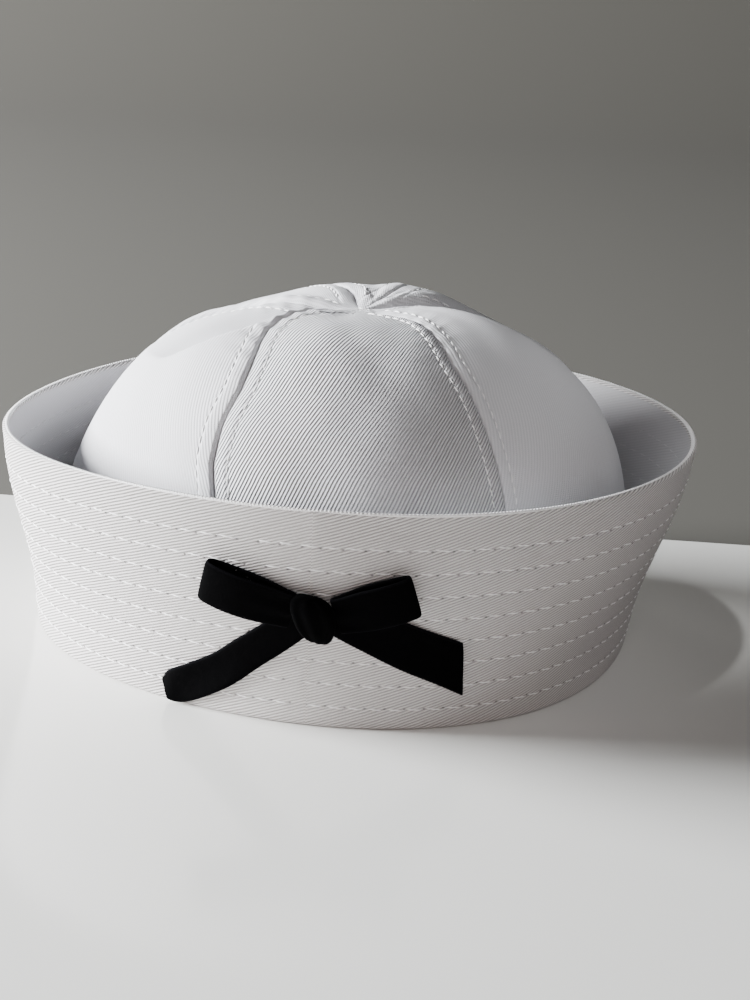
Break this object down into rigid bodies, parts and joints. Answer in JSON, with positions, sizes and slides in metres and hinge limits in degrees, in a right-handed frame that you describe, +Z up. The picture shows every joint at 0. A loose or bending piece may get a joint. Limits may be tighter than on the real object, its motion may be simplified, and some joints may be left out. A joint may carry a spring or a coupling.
{
  "type": "sailor cap",
  "caption": "White cotton sailor cap with a round panelled crown, a tall turned-up brim in stitched rows and a small black velvet bow on the front.",
  "frame": {"origin": "on the surface that the cap stands on, under the middle of the whole cap with its bow", "axes": "+Z up through the crown; the bow is on the -Y side and +X is to the right as the bow is seen"},
  "size_m": [0.2144, 0.2272, 0.1052],
  "materials": {
    "white_cotton_twill": "matte twill weave",
    "black_velvet": "short dense pile"
  },
  "bodies": {
    "root": {"crown_panel_front": "white_cotton_twill", "crown_panel_front_right": "white_cotton_twill", "crown_panel_back_right": "white_cotton_twill", "crown_panel_back": "white_cotton_twill", "crown_panel_back_left": "white_cotton_twill", "crown_panel_front_left": "white_cotton_twill", "brim": "white_cotton_twill", "bow_knot": "black_velvet", "bow_loop_left": "black_velvet", "bow_loop_right": "black_velvet", "bow_tail_left": "black_velvet", "bow_tail_right": "black_velvet"}
  },
  "joints": []
}
